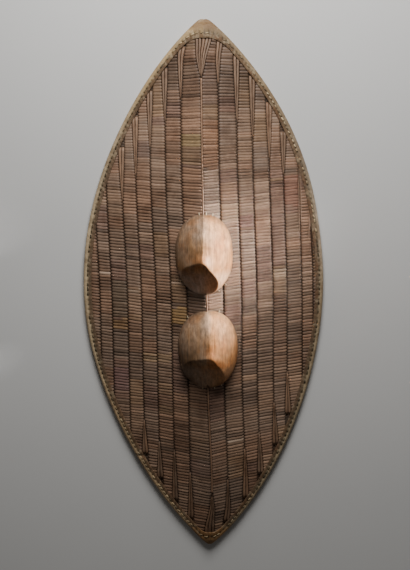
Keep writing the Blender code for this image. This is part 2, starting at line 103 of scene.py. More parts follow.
# Bosses: middle from the keel, size, and the nose's place from the middle
BOSSES = {
    "upper": ((-0.005, 0.0775), (0.117, 0.162, 0.066), (-0.003, -0.013)),
    "lower": ((0.001, -0.1185), (0.123, 0.161, 0.068), (0.0055, -0.011)),
}
BOSS_CORNER = 2.2
BOSS_EDGE = 0.002
DOME_SHARE = 0.9
DOME_POWER = 1.75
CREST_POWER = 2.7
DOME_EDGE = 0.6
CUT_POWER = 1.25
CUT_REACH = 0.95
CUT_LEAN = 20
CUT_SOFTNESS = 0.05
NOSE_RADIUS = 0.015
NOSE_POWER = 3
LASHINGS = {"upper": (74, 86, 97, 219, 297, 314), "lower": (70, 128, 261, 280, 293)}

# Paint of each boss: noise seed, painted shade at the left, painted light at the right, painted light under
# the nose
BOSS_PAINT_AND_LIGHT = {"upper": (3.0, 0.15, 0.0, 0.9), "lower": (8.0, 0.52, 0.42, 0.4)}
LASHING_INSIDE = 0.0006
LASHING_OUTSIDE = 0.0045

# Worked out from the sizes above
KEEL_X = (HALF_WIDTH[-1] - HALF_WIDTH[1]) / 2
REACH = {end: LENGTH / 2 - end * WIDEST_Y + BLUNT[end] for end in (1, -1)}
SLOT_HALF = PANEL_THICKNESS / 2 + SLOT_GAP
RIM_HALF = SLOT_HALF + HIDE
CROWN = PANEL_THICKNESS / 2
FIT = 0.0004


def ease(share):
    """0 to 1 in a smooth S, held at both ends."""
    share = min(1.0, max(0.0, share))
    return share * share * (3 - 2 * share)


def near(value, middle, reach):
    """1 at the middle, fading to nearly 0 at twice the reach."""
    return exp(-(((value - middle) / reach) ** 2))


def share_along(y):
    """How wide and how high the shield is at y, as a share of its widest place."""
    above = y - WIDEST_Y
    return max(0.0, 1 - (above / REACH[1 if above > 0 else -1]) ** 2) ** OUTLINE_POWER


def swayed(nominal, y):
    """Where a line of the weave, at this distance from the keel's place, really runs at y."""
    side = 2 if nominal > 0 else 0
    away = min(1.0, abs(nominal) / 0.03)
    top, bottom = (sway[1] + (sway[side] - sway[1]) * away for sway in (TOP_SWAY, BOTTOM_SWAY))
    shift = top * ease((y + 0.05) / 0.3) + bottom * ease((-y - 0.18) / 0.24)
    to_tip = max(0.0, min(REACH[1] + WIDEST_Y - y, REACH[-1] - WIDEST_Y + y))
    return KEEL_X + nominal + shift * ease((to_tip - SWAY_START) / SWAY_FADE)


def bulge(side, y, outwards):
    """How much farther out the outline runs here than the plain curve of its side."""
    extra = 0.0
    for middle, reach, amount in BULGES[side]:
        extra += amount * max(0.0, 1 - ((y - middle) / reach) ** 2) ** 2
    return extra * ease(outwards / 0.05)


def mid_height(x, y):
    """Height of the middle of the panel's thickness above the plane it lies on."""
    share = share_along(y)
    keel = swayed(0.0, y)
    side = 1 if x > keel else -1
    outwards = HALF_WIDTH[side] * share
    edge = KEEL_X + side * (outwards + bulge(side, y, outwards))
    inwards = side * (edge - x)
    if inwards <= 0:
        return RIM_HALF + STRAIGHT_SHARE * KEEL_RISE / HALF_WIDTH[side] * inwards
    part = inwards / (side * (edge - keel))
    return RIM_HALF + KEEL_RISE * share * (STRAIGHT_SHARE * part + (1 - STRAIGHT_SHARE) * part**2)


def steepness(x, y):
    """Length of the surface for each unit of its plan, at this place."""
    step = 0.0005
    outwards = step if x >= swayed(0.0, y) else -step
    here = mid_height(x, y)
    along_x = (mid_height(x + outwards, y) - here) / step
    along_y = (mid_height(x, y + step) - here) / step
    return min(1.25, sqrt(1 + along_x**2 + along_y**2))


def height(x, y, above):
    """Height of a point that lies this far in front of the middle of the panel."""
    return mid_height(x, y) + above * steepness(x, y)


def tip_drop(outwards, inset, end):
    """How far the outline is drawn in at a tip, over its fold of hide."""
    depth = BLUNT[end] + TIP_WEB[end] * min(1.0, inset / STITCH_INSET)
    return depth * max(0.0, 1 - outwards / (depth * TIP_ROUND)) ** 2


def ring_point(side, angle, inset):
    """A point of the outline, moved in by inset; angle runs from -90 to 90 degrees."""
    end = 1 if angle > 0 else -1
    reach = REACH[end] - inset * TIP_DEPTH
    outwards = (HALF_WIDTH[side] - inset) * max(0.0, cos(angle)) ** (2 * OUTLINE_POWER)
    y = WIDEST_Y + reach * sin(angle) - end * tip_drop(outwards, inset, end)
    return KEEL_X + side * (outwards + bulge(side, y, outwards)), y


def edge_y(x, inset, end):
    """Where the outline, moved in by inset, crosses x at the upper (1) or lower (-1) end."""
    side = 1 if x > KEEL_X else -1
    reach = REACH[end] - inset * TIP_DEPTH
    outwards = abs(x - KEEL_X)
    for _ in range(6):
        share = min(1.0, outwards / (HALF_WIDTH[side] - inset))
        along = reach * sqrt(1 - share ** (1 / OUTLINE_POWER))
        y = WIDEST_Y + end * (along - tip_drop(outwards, inset, end))
        outwards = max(0.0, abs(x - KEEL_X) - bulge(side, y, outwards))
    return y


def inside(x, y, inset):
    """Whether a place lies inside the outline moved in by inset."""
    if abs(x - KEEL_X) >= HALF_WIDTH[1 if x > KEEL_X else -1] - inset - 0.001:
        return False
    return edge_y(x, inset, -1) < y < edge_y(x, inset, 1)


def drift(x, y, scale, seed):
    """Smooth seeded noise over the shield, about -1 to 1."""
    return noise.noise(Vector((x * scale, y * scale, seed * 7.31)))


def column_lines():
    """Nominal places of the lines between the columns, from left to right."""
    left = [-sum(LEFT_COLUMNS[: i + 1]) for i in range(len(LEFT_COLUMNS))]
    right = [sum(RIGHT_COLUMNS[: i + 1]) for i in range(len(RIGHT_COLUMNS))]
    return [left[-1] - LAST_COLUMN] + left[::-1] + [0.0] + right + [right[-1] + LAST_COLUMN]


LINES = column_lines()
KEEL_LINE = LINES.index(0.0)


def wedge_start(nominal, width, end):
    """Where bare reeds of this width on this line begin, just clear of the hide."""
    y = 0.4 * end
    for _ in range(4):
        x = swayed(nominal, y)
        corners = [edge_y(x + side * width / 2, RIM_LIP + 2 * FIT, end) for side in (-1, 1)]
        y = min(corners) if end > 0 else max(corners)
    return y


def wedges():
    """Every wedge of bare reeds: (group, line, end, y at the rim, length, width)."""
    found = []
    for group, lengths in REED_LENGTHS.items():
        end = 1 if group.startswith("top") else -1
        side = -1 if group.endswith("left") else 1
        for i, length in enumerate(lengths):
            line = KEEL_LINE + side * (i + 1)
            start = wedge_start(LINES[line], WEDGE_WIDTH, end)
            found.append((group, line, end, start, length, WEDGE_WIDTH))
    for group, end, (length, width) in (
        ("top_keel", 1, TOP_KEEL_WEDGE),
        ("bottom_keel", -1, BOTTOM_KEEL_WEDGE),
    ):
        start = wedge_start(0.0, width, end)
        found.append((group, KEEL_LINE, end, start, length, width))
    return found


WEDGES = wedges()


def wedge_half(line, y):
    """Half the width that bare reeds take up on this line at y."""
    for _, own_line, end, start, length, width in WEDGES:
        if own_line == line and end * y > 0:
            along = end * (start - y) / length
            if along < 1:
                return width / 2 * (1 - max(0.0, along)) ** 0.8
    return 0.0


class Draft:
    """Points, faces and paint of a mesh while it is being made."""

    def __init__(self):
        self.points = []
        self.faces = []
        self.paint = []

    def skin(self, rings, paints, capped=True, closed_along=False):
        """Skins a row of rings that have equally many points; each ring has its own paint."""
        start = len(self.faces)
        first = len(self.points)
        around = len(rings[0])
        for ring, paint in zip(rings, paints):
            self.points.extend(ring)
            self.paint.extend(paint if isinstance(paint, list) else [paint] * around)
        rows = len(rings) if closed_along else len(rings) - 1
        for row in range(rows):
            here = first + row * around
            there = first + (row + 1) % len(rings) * around
            for i in range(around):
                j = (i + 1) % around
                self.faces.append((here + i, here + j, there + j, there + i))
        if capped and not closed_along:
            self.faces.append(tuple(range(first + around - 1, first - 1, -1)))
            last = first + (len(rings) - 1) * around
            self.faces.append(tuple(range(last, last + around)))
        self.turn_outwards(start)

    def turn_outwards(self, start):
        """Reverses the faces added since start if the closed skin they make looks inwards."""
        middle = Vector(self.points[self.faces[start][0]])
        volume = 0.0
        for face in self.faces[start:]:
            corners = [Vector(self.points[i]) - middle for i in face]
            for second, third in zip(corners[1:], corners[2:]):
                volume += corners[0].dot(second.cross(third))
        if volume < 0:
            self.faces[start:] = [face[::-1] for face in self.faces[start:]]

    def build(self, name, mat):
        """Turns the draft into an object."""
        mesh = bpy.data.meshes.new(name)
        mesh.from_pydata(self.points, [], self.faces)
        colours = mesh.color_attributes.new("paint", "FLOAT_COLOR", "POINT")
        flat = [part for paint in self.paint for part in (*paint, 1.0)]
        colours.data.foreach_set("color", flat)
        mesh.validate()
        mesh.shade_smooth()
        mesh.materials.append(mat)
        obj = bpy.data.objects.new(name, mesh)
        bpy.context.scene.collection.objects.link(obj)
        return obj

    def make(self, name, mat, replaced=()):
        """Builds a piece that rides with the shield, in the place of these solids."""
        obj = self.build(name, mat)
        if replaced:
            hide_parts(*replaced)
        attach(obj, "root")


WHITE = (1.0, 1.0, 1.0)


UP = Vector((0, 0, 1))
SPLIT = [(-1, 0), (-0.86, 0.62), (-0.45, 0.94), (0, 1.0), (0.45, 0.94), (0.86, 0.62), (1, 0)]


def strip(draft, path, widths, thicknesses, paint, facing=UP):
    """A strip of split reed or cane along a path, with its round side facing this way."""
    rings = []
    for i, middle in enumerate(path):
        along = (path[min(len(path) - 1, i + 1)] - path[max(0, i - 1)]).normalized()
        up = (facing - along * facing.dot(along)).normalized()
        across = along.cross(up)
        rings.append([middle + across * (a * widths[i] / 2) + up * (b * thicknesses[i]) for a, b in SPLIT])
    draft.skin(rings, [paint] * len(path))


# Shader node groups shared by several materials

def new_group(name, inputs, outputs):
    """An empty shader group with named sockets, and its input and output nodes."""
    group = bpy.data.node_groups.new(name, "ShaderNodeTree")
    for label, kind, default in inputs:
        socket = group.interface.new_socket(label, in_out="INPUT", socket_type=f"NodeSocket{kind}")
        socket.default_value = default
    for label in outputs:
        group.interface.new_socket(label, in_out="OUTPUT", socket_type="NodeSocketFloat")
    return group, group.nodes.new("NodeGroupInput"), group.nodes.new("NodeGroupOutput")


def add_node(tree, kind, fed=(), **values):
    """A new node with these input values; fed lists (input, socket that feeds it)."""
    node = tree.nodes.new(f"ShaderNode{kind}")
    for label, value in values.items():
        node.inputs[label.replace("_", " ")].default_value = value
    for label, source in fed:
        tree.links.new(source, node.inputs[label])
    return node


def fibre_group():
    """Fine streaks that run along a stretched direction, as in split cane or wood."""
    group, given, result = new_group(
        "Fibre",
        [
            ("Stretch", "Vector", (30.0, 600.0, 600.0)),
            ("Low", "Float", 0.75),
            ("High", "Float", 1.2),
        ],
        ["Shade", "Height"],
    )
    place = add_node(group, "TexCoord")
    stretch = add_node(group, "VectorMath", [(0, place.outputs["Object"]), (1, given.outputs["Stretch"])])
    stretch.operation = "MULTIPLY"
    fed = [("Vector", stretch.outputs["Vector"])]
    streaks = add_node(group, "TexNoise", fed, Scale=1.0, Detail=3.0, Distortion=0.4)
    relief = streaks.outputs["Fac"]
    fed = [("Value", relief), ("To Min", given.outputs["Low"]), ("To Max", given.outputs["High"])]
    shade = add_node(group, "MapRange", fed, From_Min=0.3, From_Max=0.7)
    group.links.new(shade.outputs["Result"], result.inputs["Shade"])
    group.links.new(relief, result.inputs["Height"])
    return group


def patch_group():
    """Soft uneven patches, for dirt, wear and stains."""
    group, given, result = new_group(
        "Patches",
        [
            ("Scale", "Float", 20.0),
            ("Start", "Float", 0.45),
            ("Full", "Float", 0.65),
            ("Detail", "Float", 4.0),
        ],
        ["Mask"],
    )
    place = add_node(group, "TexCoord")
    fed = [("Vector", place.outputs["Object"])]
    fed += [(label, given.outputs[label]) for label in ("Scale", "Detail")]
    clouds = add_node(group, "TexNoise", fed, Roughness=0.6)
    fed = [("Value", clouds.outputs["Fac"])]
    fed += [("From Min", given.outputs["Start"]), ("From Max", given.outputs["Full"])]
    mask = add_node(group, "MapRange", fed)
    mask.interpolation_type = "SMOOTHSTEP"
    group.links.new(mask.outputs["Result"], result.inputs["Mask"])
    return group


def shared_group(name):
    """The shader group of this name, built when it is first asked for."""
    if name not in bpy.data.node_groups:
        {"Fibre": fibre_group, "Patches": patch_group}[name]()
    return bpy.data.node_groups[name]


class Surface:
    """A material whose nodes are added one effect at a time."""

    def __init__(self, name, colour, roughness, specular=0.35):
        mat = bpy.data.materials.new(name)
        mat.use_nodes = True
        self.tree = mat.node_tree
        self.shader = self.tree.nodes["Principled BSDF"]
        self.shader.inputs["Roughness"].default_value = roughness
        self.shader.inputs["Specular IOR Level"].default_value = specular
        paint = add_node(self.tree, "Attribute")
        paint.attribute_name = "paint"
        self.colour = self.mix("MULTIPLY", 1.0, paint.outputs["Color"], (*colour, 1.0))

    def group(self, name, **values):
        """Adds a shared group with its own values and returns the node."""
        node = add_node(self.tree, "Group")
        node.node_tree = shared_group(name)
        for label, value in values.items():
            node.inputs[label].default_value = value
        return node

    def mix(self, blend, factor, first, second):
        """Blends two colours; each is a socket or a plain colour."""
        node = add_node(self.tree, "Mix")
        node.data_type = "RGBA"
        node.blend_type = blend
        for socket, value in ((node.inputs[0], factor), (node.inputs[6], first), (node.inputs[7], second)):
            if isinstance(value, bpy.types.NodeSocket):
                self.tree.links.new(value, socket)
            else:
                socket.default_value = value
        return node.outputs[2]

    def fibre(self, stretch, low, high):
        """Streaks the colour along the fibres and returns the height of the streaks."""
        node = self.group("Fibre", Stretch=stretch, Low=low, High=high)
        self.colour = self.mix("MULTIPLY", 1.0, self.colour, node.outputs["Shade"])
        return node.outputs["Height"]

    def patches(self, blend, colour, amount, scale, start, full):
        """Blends another colour in by soft patches and returns their mask."""
        mask = self.group("Patches", Scale=scale, Start=start, Full=full).outputs["Mask"]
        weaker = add_node(self.tree, "Math", [(0, mask)])
        weaker.operation = "MULTIPLY"
        weaker.inputs[1].default_value = amount
        self.colour = self.mix(blend, weaker.outputs[0], self.colour, (*colour, 1.0))
        return mask

    def bump(self, value, strength, distance):
        """Adds fine relief on top of what the surface already has."""
        node = add_node(self.tree, "Bump", [("Height", value)], Strength=strength, Distance=distance)
        normal = self.shader.inputs["Normal"]
        if normal.is_linked:
            self.tree.links.new(normal.links[0].from_socket, node.inputs["Normal"])
        self.tree.links.new(node.outputs["Normal"], normal)

    def done(self):
        """Joins the finished colour to the shader."""
        self.tree.links.new(self.colour, self.shader.inputs["Base Color"])


def cane_material(name, colour):
    """Weathered split cane whose fibres run across the shield."""
    surface = Surface(name, colour, 0.52)
    relief = surface.fibre((28.0, 900.0, 500.0), 0.72, 1.18)
    surface.patches("MULTIPLY", (0.62, 0.56, 0.52), 0.75, scale=26.0, start=0.46, full=0.72)
    surface.patches("MIX", (0.3, 0.24, 0.19), 0.18, scale=9.0, start=0.5, full=0.75)
    surface.bump(relief, 0.35, 0.0004)
    surface.done()


def reed_material(name, colour):
    """Bare split reed whose fibres run along the shield."""
    surface = Surface(name, colour, 0.55)
    relief = surface.fibre((900.0, 22.0, 500.0), 0.62, 1.22)
    surface.patches("MULTIPLY", (0.6, 0.5, 0.44), 0.7, scale=40.0, start=0.45, full=0.7)
    surface.bump(relief, 0.4, 0.0004)
    surface.done()


def hide_material(name, colour):
    """Stiff buff hide, stained brown, rubbed pale and specked with dirt."""
    surface = Surface(name, colour, 0.62, 0.3)
    surface.patches("MIX", (0.17, 0.105, 0.055), 0.55, scale=34.0, start=0.47, full=0.66)
    pale = surface.patches("MIX", (0.44, 0.35, 0.225), 0.32, scale=70.0, start=0.52, full=0.66)
    speck = surface.patches("MULTIPLY", (0.55, 0.47, 0.38), 0.6, scale=380.0, start=0.5, full=0.72)
    surface.bump(pale, 0.3, 0.001)
    surface.bump(speck, 0.3, 0.0003)
    surface.done()


def thong_material(name, colour):
    """Pale strips of cane and thong."""
    surface = Surface(name, colour, 0.6)
    surface.patches("MULTIPLY", (0.5, 0.4, 0.3), 0.8, scale=150.0, start=0.45, full=0.65)
    relief = surface.fibre((420.0, 420.0, 420.0), 0.8, 1.15)
    surface.bump(relief, 0.3, 0.0003)
    surface.done()


def wood_material(name, colour):
    """Carved wood with long grain, handled and dusty."""
    surface = Surface(name, colour, 0.68, 0.22)
    grain = surface.fibre((230.0, 24.0, 120.0), 0.72, 1.18)
    fine = surface.fibre((800.0, 110.0, 600.0), 0.78, 1.16)
    surface.patches("MULTIPLY", (0.86, 0.6, 0.38), 0.65, scale=22.0, start=0.46, full=0.66)
    surface.patches("MULTIPLY", (0.55, 0.45, 0.36), 0.55, scale=48.0, start=0.52, full=0.72)
    surface.bump(grain, 0.35, 0.0008)
    surface.bump(fine, 0.25, 0.0003)
    surface.done()


def floor_material(name, colour):
    """Plain pale studio floor with the faintest unevenness."""
    surface = Surface(name, colour, 0.8, 0.1)
    surface.patches("MULTIPLY", (0.97, 0.97, 0.97), 1.0, scale=1.4, start=0.3, full=0.7)
    surface.done()


FINISHES = {
    "aged_cane": (cane_material, "cane"),
    "lath_wood": (reed_material, "lath"),
    "bare_split_reed": (reed_material, "reed"),
    "stained_hide": (hide_material, "hide"),
    "old_thong": (thong_material, "thong"),
    "boss_wood": (wood_material, "wood"),
    "studio_floor": (floor_material, "floor"),
}


def material(name):
    """The finish of this name, made when it is first asked for."""
    if name not in bpy.data.materials:
        maker, colour = FINISHES[name]
        maker(name, getattr(bpy.context.scene.shield_colours, colour))
    return bpy.data.materials[name]


# The weave

LATH_HALF = 0.0017  # half of a lath's thickness
LATH_GAP = 0.0012  # from the side of a lath to the line between the columns
LATH_INSIDE = 0.008  # how far the laths end inside the rim
STRAND_STOPS = (0.0, 0.05, 0.12, 0.25, 0.5, 0.75, 0.88, 0.95, 1.0)
STRAND_SECTION = [(-1, 0), (-0.74, 0.95), (0.74, 0.95), (1, 0), (0.74, -0.95), (-0.74, -0.95)]
STRAND_EDGE_SHADE = (0.45, 1.0, 1.0, 0.45, 1.0, 1.0)  # painted shade at each point of the section: the strand's edges darker where it meets its neighbours
TINTS = (
    ((1.0, 1.0, 1.0), 6),
    ((1.05, 0.97, 0.92), 4),
    ((0.94, 0.97, 1.01), 3),
    ((1.03, 1.0, 0.9), 2),
    ((0.86, 0.81, 0.86), 3),
    ((1.12, 1.1, 1.06), 2),
    ((0.93, 0.86, 0.82), 2),
)

# Discoloured places: (metres right of the keel, y of the middle, half the length, tint)
WORN_PATCHES = (
    (-0.209, 0.032, 0.003, (2.2, 2.4, 2.6)),
    (-0.06, 0.017, 0.005, (1.45, 1.55, 1.6)),
    (-0.055, -0.052, 0.018, (1.36, 1.3, 0.88)),
    (-0.18, -0.02, 0.038, (0.78, 0.84, 0.84)),
    (-0.18, -0.072, 0.011, (1.06, 1.0, 0.76)),
    (-0.18, -0.115, 0.03, (0.72, 0.76, 0.8)),
    (-0.18, -0.19, 0.024, (0.84, 0.76, 0.95)),
    (-0.15, -0.001, 0.003, (1.6, 1.75, 1.8)),
    (-0.154, -0.354, 0.004, (1.8, 2.0, 2.0)),
    (-0.119, -0.14, 0.009, (1.28, 1.32, 1.16)),
    (-0.119, 0.19, 0.05, (1.1, 1.0, 0.94)),
    (-0.088, -0.139, 0.009, (1.26, 1.28, 1.16)),
    (-0.024, 0.308, 0.014, (1.15, 1.22, 0.95)),
    (-0.024, 0.19, 0.06, (1.12, 1.0, 0.92)),
    (0.017, 0.3, 0.05, (1.16, 1.0, 0.88)),
    (0.017, 0.42, 0.04, (0.82, 0.8, 0.82)),
    (0.05, -0.05, 0.02, (0.8, 0.74, 0.8)),
    (0.05, -0.317, 0.003, (2.0, 2.3, 2.5)),
    (0.085, 0.14, 0.012, (0.82, 0.72, 0.8)),
    (0.14, 0.032, 0.009, (1.32, 1.4, 1.34)),
    (0.15, 0.14, 0.08, (0.84, 0.8, 0.84)),
    (0.18, 0.2, 0.03, (0.96, 0.78, 0.78)),
    (0.18, 0.04, 0.04, (0.84, 0.84, 0.84)),
)


def row_slope(y):
    """How much a row rises for each metre away from the keel."""
    upper = 0.09 - 0.13 * ease((y - 0.16) / 0.24)
    return upper + 0.05 * ease((-y - 0.2) / 0.15)


def row_y(base, x):
    """Where a row that crosses the keel at base lies at x."""
    wave = 0.0016 * drift(x, base, 14.0, 3) + 0.0009 * drift(x, base, 45.0, 4)
    return base + row_slope(base) * abs(x - KEEL_X) + wave


def tint_table(rows):
    """A tint for every column of every row, in patches of several rows."""
    chance = Random(41)
    choices = [tint for tint, weight in TINTS for _ in range(weight)]
    table = []
    for _ in range(len(LINES) - 1):
        column = []
        while len(column) < rows:
            tint = chance.choice(choices)
            shade = chance.uniform(0.84, 1.14)
            patch = tuple(part * shade for part in tint)
            column += [patch] * chance.randint(3, 22)
        table.append(column)
    return table


def worn_tint(column, y):
    """The tint of a patch of its own at this place, if there is one."""
    for place, middle, half, tint in WORN_PATCHES:
        if LINES[column] <= place < LINES[column + 1] and abs(y - middle) < half:
            return tint
    return None


def column_edges(column, y):
    """Where a column starts and ends at y, between its bare reeds."""
    left = swayed(LINES[column], y) + wedge_half(column, y)
    return left, swayed(LINES[column + 1], y) - wedge_half(column + 1, y)


def strand_stations(base):
    """Places along one row: (column, share across it, x, y), inside the hide's fold."""
    stations = []
    for column in range(len(LINES) - 1):
        rough_y = row_y(base, KEEL_X + (LINES[column] + LINES[column + 1]) / 2)
        left, right = column_edges(column, rough_y)
        stops = STRAND_STOPS if wedge_half(column + 1, rough_y) > 0 else STRAND_STOPS[:-1]
        for share in stops:
            x = left + (right - left) * share
            y = row_y(base, x)
            if inside(x, y, HIDE + 0.003):
                stations.append((column, share, x, y))
    return stations


def strand_shape(share):
    """How far a strand has come up over its lath, 0 between columns and 1 on the lath."""
    from_edge = min(share, 1 - share)
    return 1 - (1 - min(1.0, from_edge / 0.125)) ** 2.4


def weave(sizes):
    """Every strand, over one column and under the next, in bands from the upper tip down."""
    half_pitch = sizes.strand_pitch / 2
    rows = ceil(LENGTH / half_pitch)
    tints = tint_table(rows + 1)
    chance = Random(7)
    bands = 5
    drafts = [Draft() for _ in range(bands)]
    lift = CROWN - sizes.strand_thickness / 2
    for row in range(rows):
        base = LENGTH / 2 - row * half_pitch
        stations = strand_stations(base)
        if len(stations) < 5:
            continue
        own = chance.uniform(0.9, 1.1)
        jitter = {}
        rings, paints = [], []
        for column, share, x, y in stations:
            if column not in jitter:
                worn = 0.7 if chance.random() < 0.05 else 1.0
                jitter[column] = (
                    chance.uniform(0.9, 1.05),
                    chance.uniform(-0.2, 0.2),
                    chance.uniform(0.8, 1.18) * worn,
                )
            wide, tilt, shade = jitter[column]
            shape = strand_shape(share)
            over = 1 if (row + column) % 2 else -1
            steep = steepness(x, y)
            z = mid_height(x, y) + over * lift * shape * steep
            loose = 1.01 + 0.12 * drift(x, y, 26.0, 21) + 0.07 * ease((abs(y) - 0.16) / 0.2)
            half = sizes.strand_width / 2 * wide * loose * (0.58 + 0.42 * shape)
            thick = sizes.strand_thickness / 2 * (1.0 + 0.25 * (1 - shape))
            lean = tilt * shape
            rings.append([(x, y + a * half, z + b * thick + a * half * lean) for a, b in STRAND_SECTION])
            tint = worn_tint(column, y) or tints[column][row]
            # painted shade where the strand dips between columns; the strand is also darker towards the upper
            # tip
            tone = own * shade * (0.38 + 0.62 * shape**1.5) * (1 - 0.38 * ease((y - 0.34) / 0.12))
            # painted light: strands lighter right of the keel in the lower half
            tone *= 1 + 0.18 * ease((x - KEEL_X) / 0.03) * ease((-y - 0.14) / 0.08) * ease((y + 0.4) / 0.08)
            paints.append([tuple(part * tone * edge for part in tint) for edge in STRAND_EDGE_SHADE])
        drafts[min(bands - 1, row * bands // rows)].skin(rings, paints)
    for i, draft in enumerate(drafts):
        draft.make(f"weave_{i + 1}", material("aged_cane"), ["woven_panel"] if i == 0 else [])


def laths():
    """The flat laths that the strands run over and under, one to a column."""
    draft = Draft()
    across = (-1.0, -0.93, -0.5, 0.0, 0.5, 0.93, 1.0)
    full = (0.2, 0.85, 1.0, 1.0, 1.0, 0.85, 0.2)
    section = list(zip(across, full)) + [(a, -f) for a, f in zip(across, full)][::-1]
    # painted shade: the lath's sides darkened where they lie in the gaps between columns
    ends = [(0.3, 0.3, 0.3) if abs(a) > 0.9 else WHITE for a in across]
    low = LATH_INSIDE - HALF_WIDTH[-1]
    high = HALF_WIDTH[1] - LATH_INSIDE
    steps = 60
    for column in range(len(LINES) - 1):
        nominal = (LINES[column] + LINES[column + 1]) / 2
        half = (LINES[column + 1] - LINES[column]) / 2 - LATH_GAP
        rings = []
        for step in range(steps + 1):
            ring = []
            for a, f in section:
                place = min(high, max(low, nominal + a * half))
                top = edge_y(KEEL_X + place, 0.005, 1)
                bottom = edge_y(KEEL_X + place, 0.005, -1)
                y = bottom + (top - bottom) * step / steps
                left, right = column_edges(column, y)
                x = (left + right) / 2 + a * ((right - left) / 2 - LATH_GAP)
                least = low * share_along(y)
                most = high * share_along(y)
                x = min(KEEL_X + most + bulge(1, y, most), max(KEEL_X + least - bulge(-1, y, -least), x))
                ring.append((x, y, height(x, y, f * LATH_HALF)))
            rings.append(ring)
        draft.skin(rings, [ends + ends[::-1]] * len(rings))
    draft.make("woven_laths", material("lath_wood"))


# Bare reeds and the rod on the keel

# Single reeds: (x from the keel at the lower end, at the upper end, top y, bottom y, bend)
EDGE_REEDS = (
    (0.1955, 0.1985, 0.285, 0.112, 0.0),
    (0.2, 0.202, 0.262, 0.13, 0.0),
    (0.213, 0.2175, 0.236, 0.098, 0.0035),
    (0.2165, 0.22, 0.205, 0.12, 0.003),
)


def reed_draft(draft, line, end, start, length, width, chance):
    """The reeds of one wedge, side by side at the rim and closing to a point."""
    count = max(2, round(width / 0.0066))
    edges = (1.3, 1.18, 0.98, 0.92, 0.98, 1.18, 1.3)
    for i in range(count):
        side = (i + 0.5) / count * 2 - 1
        reach = length * (1.0 - 0.12 * abs(side) * chance.uniform(0.4, 1.6))
        shade = chance.uniform(0.82, 1.18) * (1 - 0.26 * ease((start - 0.38) / 0.12))
        warm = chance.uniform(0.95, 1.05)
        paint = [(edge * shade * warm, edge * shade * 0.96, edge * shade / warm * 0.9) for edge in edges]
        path, widths, thicknesses = [], [], []
        steps = 14
        for step in range(steps + 1):
            along = -0.1 + (reach / length + 0.1) * step / steps
            y = start - end * length * along
            taper = (1 - min(0.995, max(0.0, along))) ** 0.8
            x = swayed(LINES[line], y) + side * width / 2 * taper
            x += 0.0004 * drift(x, y, 60.0, i)
            tuck = ease((step - steps + 2) / 2.5) * 0.0022 + ease((-along - 0.03) / 0.05) * 0.0008
            path.append(Vector((x, y, height(x, y, 0.0012 - tuck))))
            widths.append(max(0.0019, width * taper / count * 0.88))
            thicknesses.append(0.0024 * (0.6 + 0.4 * taper))
        strip(draft, path, widths, thicknesses, paint)


def reeds():
    """Bare reeds in wedges between the columns at the rim."""
    chance = Random(19)
    drafts = {}
    replaced = {}
    for group, line, end, start, length, width in WEDGES:
        place = "keel" if group.endswith("keel") else group
        draft = drafts.setdefault(place, Draft())
        reed_draft(draft, line, end, start, length, width, chance)
        number = "" if group.endswith("keel") else f"_{abs(line - KEEL_LINE)}"
        replaced.setdefault(place, []).append(f"splint_{group}{number}")
    for place, draft in drafts.items():
        draft.make(f"reeds_{place}", material("bare_split_reed"), replaced[place])


def edge_reeds():
    """Single reeds on the weave near the upper right rim, two of them bent along it."""
    chance = Random(29)
    draft = Draft()
    for foot_x, head_x, top, bottom, bend in EDGE_REEDS:
        path, widths = [], []
        steps = 40
        for step in range(steps + 1):
            share = step / steps
            y = top + (bottom - top) * share
            nominal = head_x + (foot_x - head_x) * share + bend * 4 * share * (1 - share)
            x = swayed(nominal, y) + 0.0004 * drift(nominal, y, 40.0, 31)
            tuck = 0.0024 * (1 - ease(share / 0.08) * ease((1 - share) / 0.08))
            path.append(Vector((x, y, height(x, y, CROWN + 0.0004 - tuck))))
            widths.append(0.0021 * (0.5 + 0.5 * ease(share / 0.1) * ease((1 - share) / 0.15)))
        shade = chance.uniform(0.85, 1.2)
        strip(draft, path, widths, [0.0012] * len(path), (shade, shade, shade))
    draft.make("edge_reeds", material("bare_split_reed"))


def keel_rod():
    """A thin split reed along the crest, passing under both bosses."""
    top = wedge_start(0.0, TOP_KEEL_WEDGE[1], 1) - TOP_KEEL_WEDGE[0] - FIT
    bottom = wedge_start(0.0, BOTTOM_KEEL_WEDGE[1], -1) + BOTTOM_KEEL_WEDGE[0] + FIT
    draft = Draft()
    rings, paints = [], []
    turns = [2 * pi * i / 10 for i in range(10)]
    steps = 260
    for step in range(steps + 1):
        y = bottom + (top - bottom) * step / steps
        x = swayed(0.0, y) + 0.0003 * drift(0.0, y, 30.0, 9)
        knot = near(y % 0.17, 0.08, 0.004)
        radius = ROD_RADIUS * (0.92 + 0.08 * drift(1.0, y, 50.0, 5)) + 0.0003 * knot
        middle = Vector((x, y, height(swayed(0.0, y), y, CROWN) + ROD_RADIUS * 0.6))
        rings.append([middle + Vector((cos(turn), 0, sin(turn))) * radius for turn in turns])
        shade = 1.25 + 0.25 * drift(2.0, y, 24.0, 6) - 0.35 * knot
        paints.append((shade * 0.9, shade * 0.82, shade * 0.74))
    draft.skin(rings, paints)
    draft.make("keel_reed", material("bare_split_reed"), ["keel_rod"])


# The hide rim

